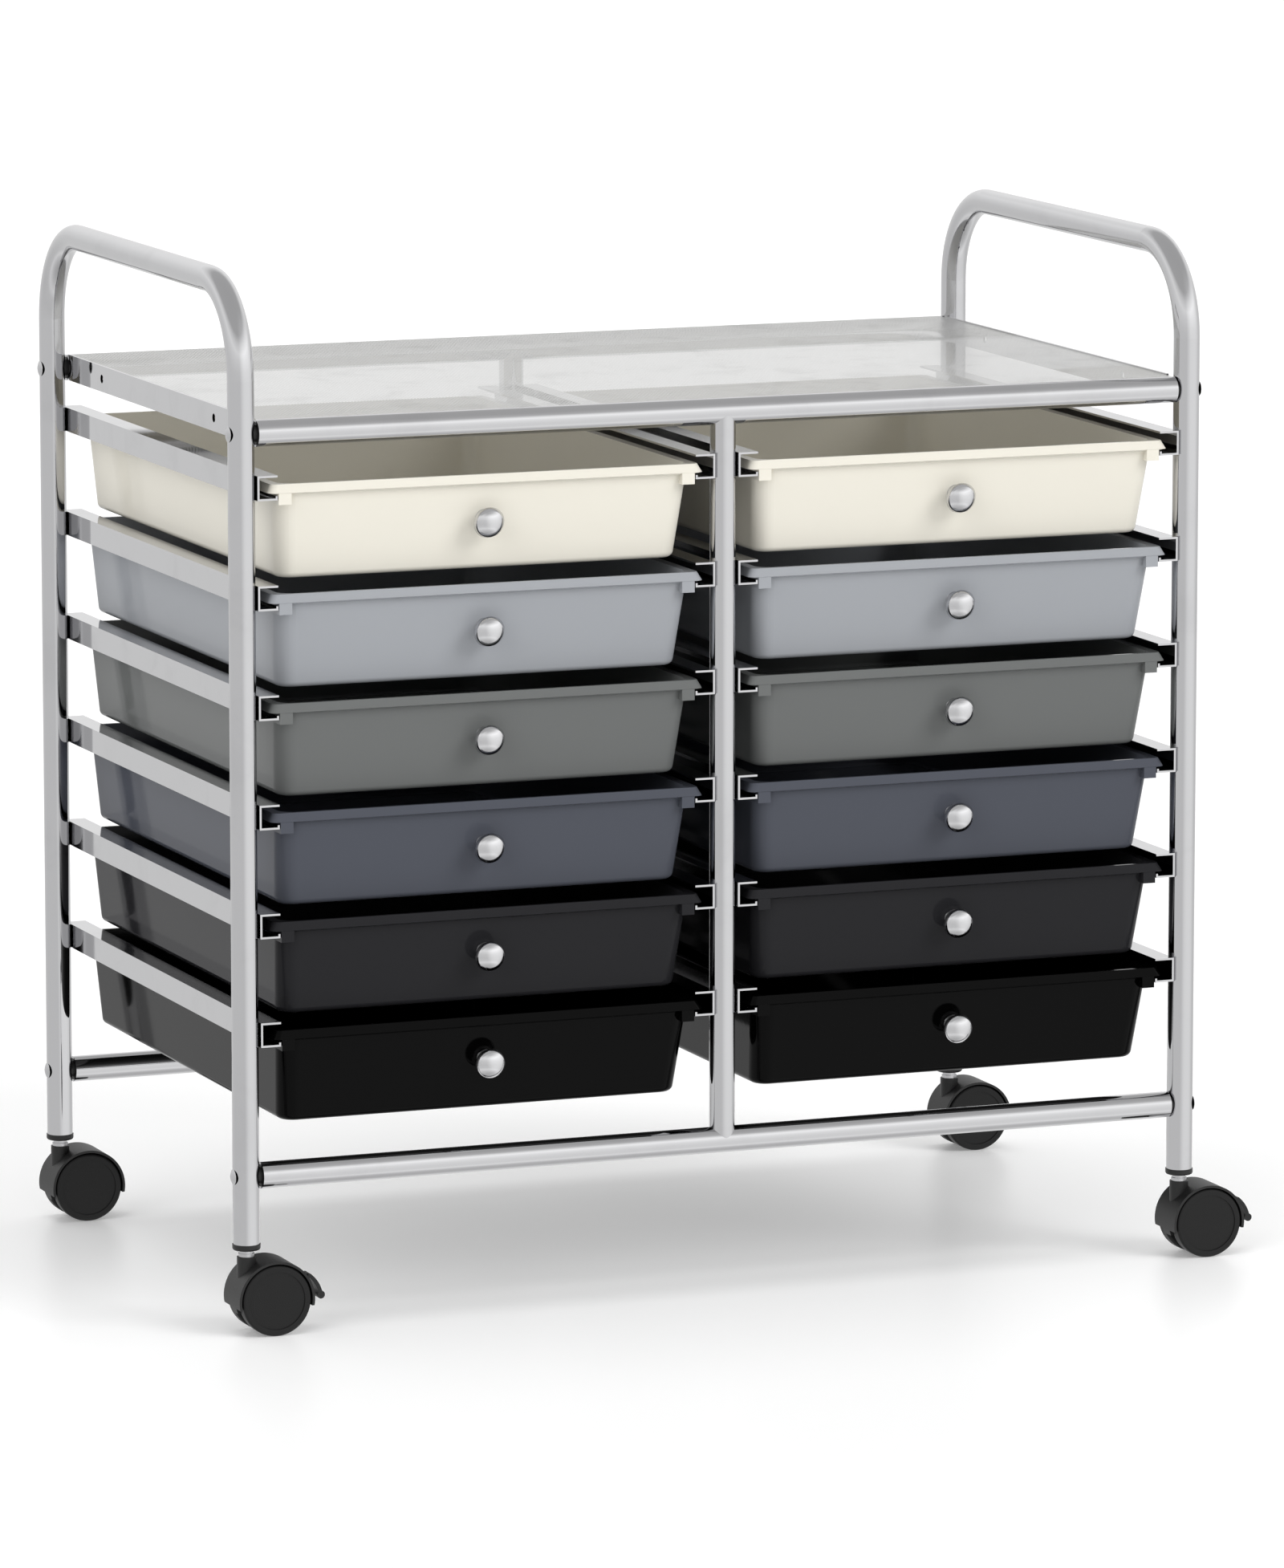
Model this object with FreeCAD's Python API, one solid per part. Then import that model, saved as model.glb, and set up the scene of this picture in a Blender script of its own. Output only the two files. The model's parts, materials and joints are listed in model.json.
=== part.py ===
"""Rolling drawer cart: a chrome tube frame on casters that carries two columns of sliding drawers.

Millimetres. The origin is on the floor, midway between the four legs: +X is the cart's right,
+Y its rear and +Z up. The drawers open towards -Y.
"""
import FreeCAD, Part
import math
import os

V = FreeCAD.Vector
RIGHT = V(1, 0, 0)
UP = V(0, 0, 1)

# Frame tubes
LEG_SPACING_X = 611.0       # between the leg axes, across the cart
LEG_SPACING_Y = 358.0       # between the leg axes, front to rear
TUBE_D = 16.0
TUBE_WALL = 1.2
POST_D = 15.5               # centre posts, a little slimmer so that they saddle on the bars
HANDLE_RISE = 572.1         # handle's axis above the legs' lower ends
HANDLE_BEND_R = 55.0        # centreline
TOP_BAR_RISE = 485.6        # bars' axes above the legs' lower ends
BOTTOM_BAR_RISE = 40.8
WELD_SEAT = 0.15            # how deep a welded piece sinks its seat round a tube
CUT_PAST = 1.0              # how far a cut runs past what it goes through

# Bolts through the legs, and the inserts in the bar ends that they screw into
BOLT_D = 5.0
BOLT_HEAD_D = 9.6
BOLT_HEAD_H = 1.4
BOLT_HOLE_CLEARANCE = 0.2   # radial, in the leg
BOLT_THREAD_CLEARANCE = 0.05
BOLT_GRIP = 18.0            # length of shank past the leg's inner side
BAR_END_GAP = 0.8           # between a leg's side and a bar's end
INSERT_SEAT_D = 10.0        # where an insert bears on the leg
INSERT_PLUG = 22.0          # inside the bar
PLUG_CLEARANCE = 0.05       # radial, plugs inside tubes

# Top shelf
SHELF_BAR_H = 16.0
SHELF_BAR_T = 1.5
SHELF_BAR_GAP = 0.3         # between a leg and the shelf's side bar
SHELF_BAR_HOLE_D = 5.0
SHELF_BAR_HOLE_Y = 106.0    # from the middle of the shelf
MESH_T = 1.0
MESH_MARGIN = 5.0
MESH_PITCH = 26.7           # nearest even spacing of the gaps
MESH_STRIP = 1.6

# Rails
ROWS = 6
TOP_RAIL_DROP = 32.1        # middle of the top row of rails below the top bars
BOTTOM_RAIL_RISE = 85.7     # middle of the bottom row of rails above the bottom bars
RAIL_H = 14.8
RAIL_FLANGE = 12.5
RAIL_T = 1.2
RAIL_LIP = 2.5              # upturned inner edge of the lower flange
RAIL_OVERHANG = 6.65        # past the leg axes, front and rear

# Drawers
SLIDE_CLEARANCE = 0.2       # rim above the rail's lip
RIM_GAP = 6.0               # rim's edge to the rail's web
RIM_H = 6.4
RIM_EDGE_RISE = 1.4         # from the rim's underside up to its outermost edge
RIM_UNDERCUT = 3.4
RIM_SLANT = 2.4             # how far the rim's top edge is inside its outermost edge
RIM_CORNER_R = 4.5
DRAWER_OVERHANG = 7.0       # rim past the leg axes, front and rear
TUB_SIDE_GAP = 1.5          # tub's wall to the rail's lip
TUB_FRONT_INSET = 4.1       # rim's front edge to the tub's front wall
TUB_REAR_INSET = 3.0
ROW_GAP = 13.8              # from a tub's bottom down to the level of the next rim's underside
TUB_WALL = 2.0
TUB_CORNER_R = 11.0         # upright corners, outside
TUB_EDGE_R = 4.0            # bottom edge, outside
TUB_INSIDE_EDGE_R = 2.2     # bottom edge, inside
SIDE_DRAFT = 4.5            # degrees
FRONT_DRAFT = 13.0
REAR_DRAFT = 5.5
LUG_W = 8.0                 # guide lugs under the rim's front corners
LUG_H = 5.6
LUG_SET_BACK = 0.3          # from the rim's front edge
LUG_GAP = 0.7               # to the rail's lip

# Knobs and their screws
KNOB_DROP = 24.9            # below the middle of the rail
KNOB_HEAD_D = 18.2
KNOB_BASE_D = 16.4
KNOB_BASE_T = 3.0
KNOB_NECK_D = 10.0
KNOB_HEAD_SET = 8.5         # from the wall to the head's widest place
KNOB_DOME_H = 7.0
KNOB_EDGE_T = 1.6           # thickness of the head behind its widest place
SCREW_D = 3.5
SCREW_HEAD_D = 7.0
SCREW_HEAD_H = 2.4
SCREW_GRIP = 7.0            # length inside the knob
SCREW_CLEARANCE = 0.1       # radial

# Casters
WHEEL_D = 43.0
WHEEL_W = 9.2
WHEEL_EDGE_R = 1.6
WHEEL_FACE_D = 35.0         # shallow round recess in the outer face
WHEEL_FACE_DEPTH = 0.6
WHEEL_HUB_DEPTH = 6.5       # blind hole for the axle
WHEEL_FENDER_GAP = 0.8
WHEEL_WEB_GAP = 0.4
AXLE_D = 5.0
AXLE_RUNNING_CLEARANCE = 0.05
AXLE_PRESS_CLEARANCE = 0.02
AXLE_END_GAP = 0.5
TRAIL = 14.3                # swivel axis to axle
FENDER_T = 1.5
FENDER_SKIRT = 4.3          # how far the fender reaches below the axle
WEB_T = 10.0                # between the wheels
WEB_SKIRT = 8.0
BOSS_D = 11.6
BOSS_RISE = 1.8             # boss above the fender's top
SWIVEL_GAP = 0.2
SWIVEL_PIN_D = 5.0
SWIVEL_PIN_CLEARANCE = 0.05
SWIVEL_PIN_LENGTH = 18.0
SWIVEL_BORE_END = 0.5
STEM_COLLAR_D = 9.8
STEM_COLLAR_H = 1.9
STEM_NECK_D = 8.4
STEM_NECK_H = 2.1
STEM_SHANK_D = 8.0
STEM_SHANK_LENGTH = 20.0
STEM_CLEARANCE = 0.05
SOCKET_FLANGE_D = 17.0
SOCKET_FLANGE_H = 3.6
SOCKET_FLANGE_EDGE_R = 1.4
SOCKET_PLUG = 24.0

# Brake levers on the front casters, placed from the axle
LEVER_PIVOT_R = 17.0        # distance of the pivot from the axle
LEVER_PIVOT_ANGLE = 45.0    # degrees above the horizontal
LEVER_HUB_D = 5.0
LEVER_HUB_GAP = 1.0         # room round the hub inside the hood
LEVER_PIN_D = 3.0
LEVER_PIN_CLEARANCE = 0.05
LEVER_PIN_END_GAP = 0.3
LEVER_ARM_W = 6.0
LEVER_SIDE_CLEARANCE = 0.3
LEVER_SLOT_ABOVE = 2.2      # slot in the hood, from the pivot's height
LEVER_SLOT_BELOW = 4.8
LEVER_T = 2.4
LEVER_PEDAL_W = 10.0
LEVER_PEDAL_GAP = 2.95      # middle of the pedal's start to the fender
LEVER_PEDAL_ANGLE = 25.7    # degrees above the horizontal, where the pedal starts
LEVER_PEDAL_BULGE = 1.2
LEVER_REACH = 7.2           # middle of the bead past the fender
LEVER_TIP_RISE = -0.4       # middle of the bead above the axle
LEVER_BEAD_D = 4.8

# Worked out from the sizes above
leg_x = LEG_SPACING_X / 2
leg_y = LEG_SPACING_Y / 2
tube_r = TUBE_D / 2
bore_r = tube_r - TUBE_WALL
post_r = POST_D / 2
axle_z = WHEEL_D / 2
fender_in_r = WHEEL_D / 2 + WHEEL_FENDER_GAP
fender_r = fender_in_r + FENDER_T
hood_half_w = WEB_T / 2 + WHEEL_WEB_GAP + WHEEL_W
boss_top_z = axle_z + fender_r + BOSS_RISE
collar_z = boss_top_z + SWIVEL_GAP
neck_z = collar_z + STEM_COLLAR_H
flange_z = neck_z + STEM_NECK_H
leg_bottom_z = flange_z + SOCKET_FLANGE_H
handle_z = leg_bottom_z + HANDLE_RISE
top_bar_z = leg_bottom_z + TOP_BAR_RISE
bottom_bar_z = leg_bottom_z + BOTTOM_BAR_RISE
top_rail_z = top_bar_z - TOP_RAIL_DROP
bottom_rail_z = bottom_bar_z + BOTTOM_RAIL_RISE
row_pitch = (top_rail_z - bottom_rail_z) / max(ROWS - 1, 1)
tub_depth = row_pitch - ROW_GAP
bar_half = leg_x - tube_r - BAR_END_GAP
leg_web_x = leg_x - tube_r + WELD_SEAT
post_web_x = post_r - WELD_SEAT
column_x = (leg_web_x + post_web_x) / 2
column_half = (leg_web_x - post_web_x) / 2


def box(x0, x1, y0, y1, z0, z1):
    """A block between two corners."""
    return Part.makeBox(x1 - x0, y1 - y0, z1 - z0, V(x0, y0, z0))


def rod(radius, start, end):
    """A round bar between two points."""
    along = end - start
    return Part.makeCylinder(radius, along.Length, start, along)


def tube(radius, start, end):
    """A frame tube between two points."""
    return rod(radius, start, end).cut(rod(radius - TUBE_WALL, start, end))


def turned(profile):
    """A solid turned about the Z axis, from (radius, height) points."""
    points = [V(radius, 0, height) for radius, height in profile]
    face = Part.Face(Part.makePolygon(points + points[:1]))
    return face.revolve(V(0, 0, 0), UP, 360)


def prism(points, half_width):
    """An outline of (x, z) points, extruded to both sides along Y."""
    corners = [V(x, -half_width, z) for x, z in points]
    face = Part.Face(Part.makePolygon(corners + corners[:1]))
    return face.extrude(V(0, 2 * half_width, 0))


def edges_at(shape, z):
    """The edges of a shape that lie in one level plane."""
    level = 1e-4
    found = []
    for edge in shape.Edges:
        bounds = edge.BoundBox
        if abs(bounds.ZMin - z) < level and abs(bounds.ZMax - z) < level:
            found.append(edge)
    return found


def four_legs(shape):
    """One copy of a shape at each leg."""
    copies = []
    for x in (-leg_x, leg_x):
        for y in (-leg_y, leg_y):
            copies.append(shape.translated(V(x, y, 0)))
    return copies


# Side frames: each is one tube, bent into a front leg, a handle and a rear leg

def handle_path(x):
    """Centreline of a side frame."""
    bend = HANDLE_BEND_R
    half_chord = bend * math.sqrt(0.5)
    bend_z = handle_z - bend
    bend_y = leg_y - bend
    front = [V(x, -leg_y, leg_bottom_z), V(x, -leg_y, bend_z)]
    rear = [V(x, leg_y, bend_z), V(x, leg_y, leg_bottom_z)]
    top = [V(x, -bend_y, handle_z), V(x, bend_y, handle_z)]
    front_middle = V(x, -bend_y - half_chord, bend_z + half_chord)
    rear_middle = V(x, bend_y + half_chord, bend_z + half_chord)
    edges = [
        Part.makeLine(front[0], front[1]),
        Part.Arc(front[1], front_middle, top[0]).toShape(),
        Part.makeLine(top[0], top[1]),
        Part.Arc(top[1], rear_middle, rear[0]).toShape(),
        Part.makeLine(rear[0], rear[1]),
    ]
    return Part.Wire(edges)


def side_frame(x):
    """A bent tube with the bolt holes of the four bars."""
    path = handle_path(x)
    start = V(x, -leg_y, leg_bottom_z)
    outside = path.makePipeShell([Part.Wire(Part.makeCircle(tube_r, start, UP))], True, False)
    inside = path.makePipeShell([Part.Wire(Part.makeCircle(bore_r, start, UP))], True, False)
    frame = outside.cut(inside)
    hole_r = BOLT_D / 2 + BOLT_HOLE_CLEARANCE
    for y in (-leg_y, leg_y):
        for z in (bottom_bar_z, top_bar_z):
            frame = frame.cut(rod(hole_r, V(x - TUBE_D, y, z), V(x + TUBE_D, y, z)))
    return frame


# Bars, their inserts and bolts

def cross_bar(y, z):
    """A tube between the left and right inserts."""
    return tube(tube_r, V(-bar_half, y, z), V(bar_half, y, z))


def end_insert(side, y, z):
    """A plug in a bar's end, with a seat that saddles on the leg and a threaded hole."""
    seat = rod(INSERT_SEAT_D / 2, V(side * leg_x, y, z), V(side * bar_half, y, z))
    plug_end = bar_half - INSERT_PLUG
    plug = rod(bore_r - PLUG_CLEARANCE, V(side * bar_half, y, z), V(side * plug_end, y, z))
    leg = rod(tube_r, V(side * leg_x, y, z - TUBE_D), V(side * leg_x, y, z + TUBE_D))
    hole = rod(BOLT_D / 2 + BOLT_THREAD_CLEARANCE, V(side * leg_x, y, z), V(side * plug_end, y, z))
    return seat.fuse(plug).cut(leg).cut(hole)


def frame_bolt(side, y, z):
    """A bolt through a leg, its domed head saddled on the leg's outer side."""
    head_r = BOLT_HEAD_D / 2
    crown_r = (head_r ** 2 + BOLT_HEAD_H ** 2) / (2 * BOLT_HEAD_H)
    face_x = leg_x + tube_r
    dome = Part.makeSphere(crown_r, V(side * (face_x + BOLT_HEAD_H - crown_r), y, z))
    head = rod(head_r, V(side * leg_x, y, z), V(side * (face_x + BOLT_HEAD_H), y, z))
    leg = rod(tube_r, V(side * leg_x, y, z - TUBE_D), V(side * leg_x, y, z + TUBE_D))
    domed_end = rod(head_r, V(side * face_x, y, z), V(side * (face_x + BOLT_HEAD_H), y, z)).common(dome)
    skirt = head.cut(rod(head_r, V(side * face_x, y, z), V(side * (face_x + BOLT_HEAD_H), y, z))).cut(leg)
    tip_x = leg_x - tube_r - BOLT_GRIP
    shank = rod(BOLT_D / 2, V(side * tip_x, y, z), V(side * face_x, y, z))
    return domed_end.fuse(skirt).fuse(shank).removeSplitter()


def at_bar_ends(make):
    """A piece made at both ends of all four bars."""
    pieces = []
    for side in (-1, 1):
        for y in (-leg_y, leg_y):
            pieces += [make(side, y, bottom_bar_z), make(side, y, top_bar_z)]
    return Part.makeCompound(pieces)


def centre_post(y):
    """A tube saddled between the top and bottom bars."""
    post = tube(post_r, V(0, y, bottom_bar_z), V(0, y, top_bar_z))
    for z in (bottom_bar_z, top_bar_z):
        post = post.cut(rod(tube_r, V(-TUBE_D, y, z), V(TUBE_D, y, z)))
    return post


# Top shelf

shelf_bar_x = leg_x - tube_r - SHELF_BAR_GAP
mesh_bottom_z = top_bar_z + tube_r - WELD_SEAT
mesh_top_z = mesh_bottom_z + MESH_T


def shelf_side_bar(side):
    """A flat bar beside the legs, coped to the ends of the top bars, with two hanging holes."""
    inner_x = shelf_bar_x - SHELF_BAR_T
    half_length = leg_y - tube_r + WELD_SEAT
    low, high = sorted((side * inner_x, side * shelf_bar_x))
    bar = box(low, high, -half_length, half_length, mesh_top_z - SHELF_BAR_H, mesh_top_z)
    for y in (-leg_y, leg_y):
        bar = bar.cut(rod(tube_r, V(low - CUT_PAST, y, top_bar_z), V(high + CUT_PAST, y, top_bar_z)))
    hole_z = mesh_top_z - SHELF_BAR_H / 2
    for y in (-SHELF_BAR_HOLE_Y, SHELF_BAR_HOLE_Y):
        hole = rod(SHELF_BAR_HOLE_D / 2, V(low - CUT_PAST, y, hole_z), V(high + CUT_PAST, y, hole_z))
        bar = bar.cut(hole)
    return bar


def rectangle(x0, x1, y0, y1, z):
    """A level rectangular wire."""
    corners = [V(x0, y0, z), V(x1, y0, z), V(x1, y1, z), V(x0, y1, z)]
    return Part.makePolygon(corners + corners[:1])


def shelf_net():
    """The shelf's net: one holed sheet that lies on the two top bars, between the side bars."""
    half_x = shelf_bar_x - SHELF_BAR_T
    half_y = leg_y
    field_x = 2 * half_x - 2 * MESH_MARGIN + MESH_STRIP
    field_y = 2 * half_y - 2 * MESH_MARGIN + MESH_STRIP
    columns = round(field_x / MESH_PITCH)
    rows = round(field_y / MESH_PITCH)
    step_x = field_x / columns
    step_y = field_y / rows
    gap_x = step_x - MESH_STRIP
    gap_y = step_y - MESH_STRIP
    wires = [rectangle(-half_x, half_x, -half_y, half_y, mesh_bottom_z)]
    for i in range(columns):
        x0 = -half_x + MESH_MARGIN + i * step_x
        for j in range(rows):
            y0 = -half_y + MESH_MARGIN + j * step_y
            wires.append(rectangle(x0, x0 + gap_x, y0, y0 + gap_y, mesh_bottom_z))
    net = Part.makeFace(wires, "Part::FaceMakerBullseye").extrude(V(0, 0, MESH_T))
    for y in (-leg_y, leg_y):
        net = net.cut(rod(tube_r, V(-leg_x, y, top_bar_z), V(leg_x, y, top_bar_z)))
    return net


# Rails

def row_z(row):
    """Middle height of a row's rails, counted down from the top."""
    return top_rail_z - row * row_pitch


def rail(web_x, opens, z, tube_x, seat_r):
    """One channel, its web welded to a front and a rear tube and its open side facing the drawer."""
    half_h = RAIL_H / 2
    outline = [
        (0, -half_h), (RAIL_FLANGE, -half_h), (RAIL_FLANGE, -half_h + RAIL_LIP),
        (RAIL_FLANGE - RAIL_T, -half_h + RAIL_LIP), (RAIL_FLANGE - RAIL_T, -half_h + RAIL_T),
        (RAIL_T, -half_h + RAIL_T), (RAIL_T, half_h - RAIL_T),
        (RAIL_FLANGE, half_h - RAIL_T), (RAIL_FLANGE, half_h), (0, half_h),
    ]
    points = [(web_x + opens * x, z + height) for x, height in outline]
    channel = prism(points, leg_y + RAIL_OVERHANG)
    for y in (-leg_y, leg_y):
        channel = channel.cut(rod(seat_r, V(tube_x, y, z - RAIL_H), V(tube_x, y, z + RAIL_H)))
    return channel


def rail_column(web_x, opens, tube_x, seat_r):
    """The rails of all the rows on one pair of tubes."""
    return Part.makeCompound([rail(web_x, opens, row_z(row), tube_x, seat_r) for row in range(ROWS)])


# Drawers: the rim's side edges slide on the rails' lips

rim_half = column_half - RAIL_T - RIM_GAP
lip_half = column_half - RAIL_FLANGE
tub_half = lip_half - TUB_SIDE_GAP
rim_end = leg_y + DRAWER_OVERHANG
rim_under = -RAIL_H / 2 + RAIL_LIP + SLIDE_CLEARANCE    # from the middle of the rail
rim_top = rim_under + RIM_H
tub_bottom = rim_under - tub_depth
tub_front = -rim_end + TUB_FRONT_INSET
tub_rear = rim_end - TUB_REAR_INSET


def rounded_rectangle(half_x, y0, y1, z, radius):
    """A level rectangular wire with round corners."""
    cut = radius * (1 - math.sqrt(0.5))
    x0, x1 = -half_x, half_x
    lines = [
        Part.makeLine(V(x0 + radius, y0, z), V(x1 - radius, y0, z)),
        Part.makeLine(V(x1, y0 + radius, z), V(x1, y1 - radius, z)),
        Part.makeLine(V(x1 - radius, y1, z), V(x0 + radius, y1, z)),
        Part.makeLine(V(x0, y1 - radius, z), V(x0, y0 + radius, z)),
    ]
    corners = [
        V(x1 - cut, y0 + cut, z), V(x1 - cut, y1 - cut, z),
        V(x0 + cut, y1 - cut, z), V(x0 + cut, y0 + cut, z),
    ]
    edges = []
    for i, line in enumerate(lines):
        following = lines[(i + 1) % len(lines)]
        edges.append(line)
        arc = Part.Arc(line.Vertexes[1].Point, corners[i], following.Vertexes[0].Point)
        edges.append(arc.toShape())
    return Part.Wire(edges)


def tub_limits(z, inset):
    """Half width, front and rear of the tub at a height, drawn in by a thickness square to its walls."""
    drawn_in = []
    for draft in (SIDE_DRAFT, FRONT_DRAFT, REAR_DRAFT):
        lean = math.radians(draft)
        drawn_in.append((rim_under - z) * math.tan(lean) + inset / math.cos(lean))
    side, front, rear = drawn_in
    return tub_half - side, tub_front + front, tub_rear - rear


def tub_body(bottom, top, inset, corner_r, edge_r):
    """A tapered block with round upright corners and a round bottom edge."""
    low_x, low_front, low_rear = tub_limits(bottom, inset)
    high_x, high_front, high_rear = tub_limits(top, inset)
    block = Part.makeWedge(
        -low_x, bottom, -low_rear, -high_rear, -high_x,
        low_x, top, -low_front, -high_front, high_x,
    )
    block.rotate(V(0, 0, 0), RIGHT, 90)
    upright = [edge for edge in block.Edges if edge.BoundBox.ZLength > (top - bottom) / 2]
    block = block.makeFillet(corner_r, upright)
    return block.makeFillet(edge_r, edges_at(block, bottom))


def rim_section(z, inset):
    """The rim's outline at a height, drawn in from its outermost edge."""
    return rounded_rectangle(rim_half - inset, -rim_end + inset, rim_end - inset, z, RIM_CORNER_R)


def wall_place():
    """The placement of the knob on the front wall: outwards is local +Z."""
    drop = rim_under + KNOB_DROP
    draft = math.radians(FRONT_DRAFT)
    y = tub_front + drop * math.tan(draft)
    return FreeCAD.Placement(V(0, y, -KNOB_DROP), FreeCAD.Rotation(RIGHT, 90 + FRONT_DRAFT))


def drawer():
    """A drawer at the middle of its column, with heights from the middle of its rails."""
    rim = Part.makeLoft(
        [
            rim_section(rim_under, RIM_UNDERCUT),
            rim_section(rim_under + RIM_EDGE_RISE, 0),
            rim_section(rim_top, RIM_SLANT),
        ],
        True, True,
    )
    tub = tub_body(tub_bottom, rim_under + RIM_EDGE_RISE, 0, TUB_CORNER_R, TUB_EDGE_R)
    outside = tub.fuse(rim)
    lug_x = lip_half - LUG_GAP
    for low in (-lug_x, lug_x - LUG_W):
        lug_front = -rim_end + LUG_SET_BACK
        lug_top = rim_under + RIM_EDGE_RISE
        lug = box(low, low + LUG_W, lug_front, tub_front + LUG_W, rim_under - LUG_H, lug_top)
        outside = outside.fuse(lug)
    inside_top = rim_top + CUT_PAST
    inside_r = TUB_CORNER_R - TUB_WALL
    inside = tub_body(tub_bottom + TUB_WALL, inside_top, TUB_WALL, inside_r, TUB_INSIDE_EDGE_R)
    hole = rod(SCREW_D / 2 + SCREW_CLEARANCE, V(0, 0, -2 * TUB_WALL), V(0, 0, TUB_WALL))
    hole.Placement = wall_place()
    return outside.cut(inside).cut(hole)


def knob():
    """A mushroom knob on the outside of the wall and its screw, whose head is on the inside."""
    base_r = KNOB_BASE_D / 2
    neck_r = KNOB_NECK_D / 2
    head_r = KNOB_HEAD_D / 2
    under_z = KNOB_HEAD_SET - KNOB_EDGE_T
    crown_z = KNOB_HEAD_SET + KNOB_DOME_H
    dome_r = (head_r ** 2 + KNOB_DOME_H ** 2) / (2 * KNOB_DOME_H)
    half_angle = math.asin(head_r / dome_r) / 2
    dome_middle = V(dome_r * math.sin(half_angle), 0, crown_z - dome_r * (1 - math.cos(half_angle)))
    waist_z = (KNOB_BASE_T + under_z) / 2
    under_r = (head_r + neck_r) / 2
    outline = [
        Part.makeLine(V(0, 0, 0), V(base_r, 0, 0)),
        Part.makeLine(V(base_r, 0, 0), V(base_r, 0, KNOB_BASE_T)),
        Part.makeLine(V(base_r, 0, KNOB_BASE_T), V(neck_r, 0, waist_z)),
        Part.makeLine(V(neck_r, 0, waist_z), V(under_r, 0, under_z)),
        Part.makeLine(V(under_r, 0, under_z), V(head_r, 0, KNOB_HEAD_SET)),
        Part.Arc(V(head_r, 0, KNOB_HEAD_SET), dome_middle, V(0, 0, crown_z)).toShape(),
        Part.makeLine(V(0, 0, crown_z), V(0, 0, 0)),
    ]
    head = Part.Face(Part.Wire(outline)).revolve(V(0, 0, 0), UP, 360)
    hole_end = SCREW_GRIP + SCREW_CLEARANCE
    head = head.cut(rod(SCREW_D / 2 + SCREW_CLEARANCE, V(0, 0, -CUT_PAST), V(0, 0, hole_end)))
    screw = rod(SCREW_D / 2, V(0, 0, -TUB_WALL), V(0, 0, SCREW_GRIP))
    screw_head = rod(SCREW_HEAD_D / 2, V(0, 0, -TUB_WALL - SCREW_HEAD_H), V(0, 0, -TUB_WALL))
    screw = screw.fuse(screw_head)
    both = Part.makeCompound([head, screw])
    both.Placement = wall_place()
    return both


# Casters, placed from the swivel axis at floor level, trailing towards +X

def caster_socket():
    """A plastic plug in a leg's end, with a round-edged flange and the stem's bore."""
    flange = rod(SOCKET_FLANGE_D / 2, V(0, 0, flange_z), V(0, 0, leg_bottom_z))
    flange = flange.makeFillet(SOCKET_FLANGE_EDGE_R, edges_at(flange, flange_z))
    plug_top = leg_bottom_z + SOCKET_PLUG
    plug = rod(bore_r - PLUG_CLEARANCE, V(0, 0, leg_bottom_z), V(0, 0, plug_top))
    bore_top = flange_z + STEM_SHANK_LENGTH + STEM_CLEARANCE
    bore = rod(STEM_SHANK_D / 2 + STEM_CLEARANCE, V(0, 0, flange_z), V(0, 0, bore_top))
    return flange.fuse(plug).cut(bore)


def caster_stem():
    """The shank in the socket, the neck and collar below it, and the pin that the hood swivels on."""
    return turned([
        (0, collar_z - SWIVEL_PIN_LENGTH), (SWIVEL_PIN_D / 2, collar_z - SWIVEL_PIN_LENGTH),
        (SWIVEL_PIN_D / 2, collar_z), (STEM_COLLAR_D / 2, collar_z), (STEM_COLLAR_D / 2, neck_z),
        (STEM_NECK_D / 2, neck_z), (STEM_NECK_D / 2, flange_z), (STEM_SHANK_D / 2, flange_z),
        (STEM_SHANK_D / 2, flange_z + STEM_SHANK_LENGTH), (0, flange_z + STEM_SHANK_LENGTH),
    ])


def across(radius, half_width, x=TRAIL, z=axle_z):
    """A round bar along Y, centred on the caster."""
    return rod(radius, V(x, -half_width, z), V(x, half_width, z))


def lever_pivot():
    """Place of the brake lever's pivot."""
    angle = math.radians(LEVER_PIVOT_ANGLE)
    return TRAIL + LEVER_PIVOT_R * math.cos(angle), axle_z + LEVER_PIVOT_R * math.sin(angle)


def caster_hood(with_brake):
    """The fender over both wheels, the web between them and the boss round the swivel pin."""
    reach = 2 * fender_r
    fender = across(fender_r, hood_half_w).cut(across(fender_in_r, hood_half_w))
    fender = fender.cut(box(-reach, reach + TRAIL, -reach, reach, -reach, axle_z - FENDER_SKIRT))
    web = across(fender_in_r + FENDER_T / 2, WEB_T / 2)
    web = web.cut(box(-reach, reach + TRAIL, -reach, reach, -reach, axle_z - WEB_SKIRT))
    boss = rod(BOSS_D / 2, V(0, 0, axle_z), V(0, 0, boss_top_z))
    wheel_space = across(fender_in_r, hood_half_w).cut(across(fender_in_r, WEB_T / 2))
    hood = fender.fuse(web).fuse(boss.cut(wheel_space))
    pin_end = collar_z - SWIVEL_PIN_LENGTH - SWIVEL_BORE_END
    hood = hood.cut(rod(SWIVEL_PIN_D / 2 + SWIVEL_PIN_CLEARANCE, V(0, 0, pin_end), V(0, 0, boss_top_z)))
    hood = hood.cut(across(AXLE_D / 2 + AXLE_PRESS_CLEARANCE, WEB_T))
    if with_brake:
        pivot_x, pivot_z = lever_pivot()
        half = LEVER_ARM_W / 2 + LEVER_SIDE_CLEARANCE
        slot_top = pivot_z + LEVER_SLOT_ABOVE
        slot = box(pivot_x, pivot_x + reach, -half, half, pivot_z - LEVER_SLOT_BELOW, slot_top)
        hood = hood.cut(across(LEVER_HUB_D / 2 + LEVER_HUB_GAP, half, pivot_x, pivot_z)).cut(slot)
        hood = hood.cut(across(LEVER_PIN_D / 2 + LEVER_PIN_CLEARANCE, WEB_T, pivot_x, pivot_z))
    return hood.removeSplitter()


def caster_axle():
    """The fixed axle, hidden in the blind hubs of the wheels."""
    return across(AXLE_D / 2, WEB_T / 2 + WHEEL_WEB_GAP + WHEEL_HUB_DEPTH - AXLE_END_GAP)


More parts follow.
